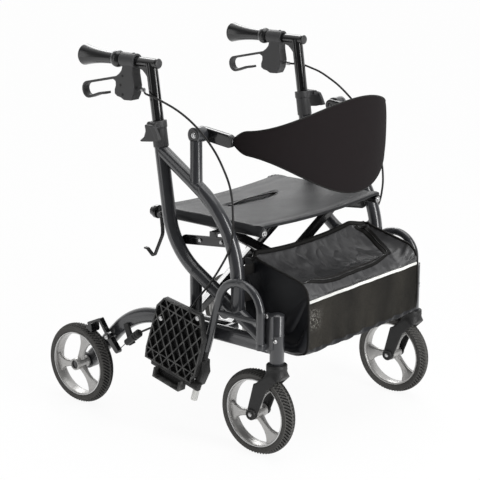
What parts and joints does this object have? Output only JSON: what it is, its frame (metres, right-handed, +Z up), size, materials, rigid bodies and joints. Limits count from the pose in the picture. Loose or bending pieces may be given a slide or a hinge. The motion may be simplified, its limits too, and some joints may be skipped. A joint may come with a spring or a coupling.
{
  "type": "rollator transport chair",
  "caption": "Folding walking frame on four wheels with a sling seat, padded backrest band, hand brakes, swing-away footrests and a storage bag.",
  "frame": {"origin": "bottom centre of the bounding box, on the floor midway between the wheels", "axes": "+Z up, -Y the walking direction, so the handles point to +Y, and +X to the walker's left"},
  "size_m": [0.684, 0.745, 0.885],
  "materials": {
    "frame_paint": "satin graphite",
    "black_gloss": "gloss black",
    "grey_plastic": "fine texture",
    "black_plastic": "matte",
    "grip_rubber": "smooth",
    "tyre_rubber": "matte",
    "rim_plastic": "silver",
    "steel": "plated",
    "cable_jacket": "satin",
    "seat_cloth": "coated cloth",
    "band_cloth": "stretch cloth",
    "bag_cloth": "nylon and mesh"
  },
  "bodies": {
    "cross_arm_a": {"right_cross_arm": "black_gloss", "left_seat_rail": "black_gloss", "cross_pivot_bolt": "steel"},
    "cross_arm_b": {"left_cross_arm": "black_gloss", "right_seat_rail": "black_gloss", "seat_sling": "seat_cloth"},
    "fold_hook": {"fold_hook": "black_gloss"},
    "right_frame": {"right_rear_tube": "frame_paint", "right_front_tube": "frame_paint", "right_bottom_rail": "frame_paint", "right_caster_housing": "frame_paint", "right_seat_rest": "black_gloss", "right_height_clamp": "grey_plastic", "right_cable_adjuster": "black_plastic", "right_rear_axle": "steel", "right_brake_cable": "cable_jacket", "storage_bag": "bag_cloth"},
    "right_rear_wheel": {"right_rear_rim": "rim_plastic", "right_rear_tyre": "tyre_rubber"},
    "right_caster": {"right_caster_fork": "black_plastic", "right_caster_axle": "steel"},
    "right_caster_wheel": {"right_caster_rim": "rim_plastic", "right_caster_tyre": "tyre_rubber"},
    "right_handle": {"right_handle_tube": "black_gloss", "right_hand_grip": "grip_rubber", "right_brake_housing": "grey_plastic"},
    "right_brake_lever": {"right_brake_lever": "grey_plastic"},
    "right_brake_arm": {"right_brake_arm": "black_plastic"},
    "right_clamp_lever": {"right_clamp_lever": "grey_plastic"},
    "right_hanger": {"right_footrest_hanger": "frame_paint"},
    "right_leg": {"right_footrest_leg": "black_gloss"},
    "right_footplate": {"right_footplate": "black_plastic"},
    "right_backrest": {"right_backrest_arm": "black_gloss", "backrest_pad": "band_cloth"},
    "left_frame": {"left_rear_tube": "frame_paint", "left_front_tube": "frame_paint", "left_bottom_rail": "frame_paint", "left_caster_housing": "frame_paint", "left_seat_rest": "black_gloss", "left_height_clamp": "grey_plastic", "left_cable_adjuster": "black_plastic", "left_rear_axle": "steel", "left_brake_cable": "cable_jacket"},
    "left_rear_wheel": {"left_rear_rim": "rim_plastic", "left_rear_tyre": "tyre_rubber"},
    "left_caster": {"left_caster_fork": "black_plastic", "left_caster_axle": "steel"},
    "left_caster_wheel": {"left_caster_rim": "rim_plastic", "left_caster_tyre": "tyre_rubber"},
    "left_handle": {"left_handle_tube": "black_gloss", "left_hand_grip": "grip_rubber", "left_brake_housing": "grey_plastic"},
    "left_brake_lever": {"left_brake_lever": "grey_plastic"},
    "left_brake_arm": {"left_brake_arm": "black_plastic"},
    "left_clamp_lever": {"left_clamp_lever": "grey_plastic"},
    "left_hanger": {"left_footrest_hanger": "frame_paint"},
    "left_leg": {"left_footrest_leg": "black_gloss"},
    "left_footplate": {"left_footplate": "black_plastic"},
    "left_backrest": {"left_backrest_arm": "black_gloss"}
  },
  "joints": [
    {"name": "brace_fold", "type": "hinge", "parent": "right_frame", "child": "cross_arm_a", "pos_m": [-0.2175, -0.095, 0.262], "axis": [0, -1, 0], "range_deg": [0, 38], "deforming": ["seat_sling", "backrest_pad", "storage_bag"]},
    {"name": "brace_scissor", "type": "hinge", "parent": "cross_arm_a", "child": "cross_arm_b", "pos_m": [0, -0.095, 0.381], "axis": [0, -1, 0], "range_deg": [-76, 0]},
    {"name": "brace_left_foot", "type": "hinge", "parent": "cross_arm_b", "child": "left_frame", "pos_m": [0.2175, -0.095, 0.262], "axis": [0, -1, 0], "range_deg": [0, 38]},
    {"name": "fold_hook_swing", "type": "hinge", "parent": "cross_arm_b", "child": "fold_hook", "pos_m": [-0.2335, 0.05, 0.5], "axis": [1, 0, 0], "range_deg": [-30, 30]},
    {"name": "right_rear_wheel_spin", "type": "hinge", "parent": "right_frame", "child": "right_rear_wheel", "pos_m": [-0.29, 0.2725, 0.1], "axis": [1, 0, 0], "continuous": true},
    {"name": "right_caster_swivel", "type": "hinge", "parent": "right_frame", "child": "right_caster", "pos_m": [-0.266, -0.325, 0.225], "axis": [0, 0, 1], "continuous": true},
    {"name": "right_caster_spin", "type": "hinge", "parent": "right_caster", "child": "right_caster_wheel", "pos_m": [-0.266, -0.2725, 0.1], "axis": [1, 0, 0], "continuous": true},
    {"name": "right_handle_height", "type": "slide", "parent": "right_frame", "child": "right_handle", "axis": [0, 0.1444, 0.9895], "range_m": [-0.02, 0.1], "deforming": ["right_brake_cable"]},
    {"name": "right_clamp_lever_turn", "type": "hinge", "parent": "right_frame", "child": "right_clamp_lever", "pos_m": [-0.293, 0.01661, 0.725], "axis": [0, 1, 0], "range_deg": [0, 110]},
    {"name": "right_brake_squeeze", "type": "hinge", "parent": "right_handle", "child": "right_brake_lever", "pos_m": [-0.266, 0.13, 0.802], "axis": [1, 0, 0], "range_deg": [0, 12], "stiffness_Nm_per_rad": 1.5},
    {"name": "right_brake_shoe_turn", "type": "hinge", "parent": "right_frame", "child": "right_brake_arm", "pos_m": [-0.286, 0.178, 0.186], "axis": [-1, 0, 0], "range_deg": [0, 2.5]},
    {"name": "right_hanger_swing", "type": "hinge", "parent": "right_frame", "child": "right_hanger", "pos_m": [-0.3, -0.3055, 0.3], "axis": [0, 0, -1], "range_deg": [-180, 0]},
    {"name": "right_leg_length", "type": "slide", "parent": "right_hanger", "child": "right_leg", "axis": [0, 0.2924, -0.9563], "range_m": [-0.008, 0.05]},
    {"name": "right_footplate_fold", "type": "hinge", "parent": "right_leg", "child": "right_footplate", "pos_m": [-0.32, -0.13, 0.142], "axis": [0, 0.9724, 0.2334], "range_deg": [-90, 0]},
    {"name": "right_backrest_swing", "type": "hinge", "parent": "right_frame", "child": "right_backrest", "pos_m": [-0.2365, -0.09, 0.711], "axis": [-1, 0, 0], "range_deg": [0, 180]},
    {"name": "left_rear_wheel_spin", "type": "hinge", "parent": "left_frame", "child": "left_rear_wheel", "pos_m": [0.29, 0.2725, 0.1], "axis": [1, 0, 0], "continuous": true},
    {"name": "left_caster_swivel", "type": "hinge", "parent": "left_frame", "child": "left_caster", "pos_m": [0.266, -0.325, 0.225], "axis": [0, 0, 1], "continuous": true},
    {"name": "left_caster_spin", "type": "hinge", "parent": "left_caster", "child": "left_caster_wheel", "pos_m": [0.266, -0.2725, 0.1], "axis": [1, 0, 0], "continuous": true},
    {"name": "left_handle_height", "type": "slide", "parent": "left_frame", "child": "left_handle", "axis": [0, 0.1444, 0.9895], "range_m": [-0.02, 0.1], "deforming": ["left_brake_cable"]},
    {"name": "left_clamp_lever_turn", "type": "hinge", "parent": "left_frame", "child": "left_clamp_lever", "pos_m": [0.293, 0.01661, 0.725], "axis": [0, -1, 0], "range_deg": [0, 110]},
    {"name": "left_brake_squeeze", "type": "hinge", "parent": "left_handle", "child": "left_brake_lever", "pos_m": [0.266, 0.13, 0.802], "axis": [1, 0, 0], "range_deg": [0, 12], "stiffness_Nm_per_rad": 1.5},
    {"name": "left_brake_shoe_turn", "type": "hinge", "parent": "left_frame", "child": "left_brake_arm", "pos_m": [0.286, 0.178, 0.186], "axis": [-1, 0, 0], "range_deg": [0, 2.5]},
    {"name": "left_hanger_swing", "type": "hinge", "parent": "left_frame", "child": "left_hanger", "pos_m": [0.3, -0.3055, 0.3], "axis": [0, 0, 1], "range_deg": [-180, 0]},
    {"name": "left_leg_length", "type": "slide", "parent": "left_hanger", "child": "left_leg", "axis": [0, 0.2924, -0.9563], "range_m": [-0.008, 0.05]},
    {"name": "left_footplate_fold", "type": "hinge", "parent": "left_leg", "child": "left_footplate", "pos_m": [0.32, -0.13, 0.142], "axis": [0, -0.9724, -0.2334], "range_deg": [-90, 0]},
    {"name": "left_backrest_swing", "type": "hinge", "parent": "left_frame", "child": "left_backrest", "pos_m": [0.2365, -0.09, 0.711], "axis": [-1, 0, 0], "range_deg": [0, 180]}
  ],
  "couplings": [
    {"joint": "brace_scissor", "follows": "brace_fold", "ratio": -2},
    {"joint": "brace_left_foot", "follows": "brace_fold", "ratio": 1},
    {"joint": "right_brake_shoe_turn", "follows": "right_brake_squeeze", "ratio": 0.2},
    {"joint": "left_brake_shoe_turn", "follows": "left_brake_squeeze", "ratio": 0.2},
    {"joint": "left_backrest_swing", "follows": "right_backrest_swing", "ratio": 1}
  ]
}
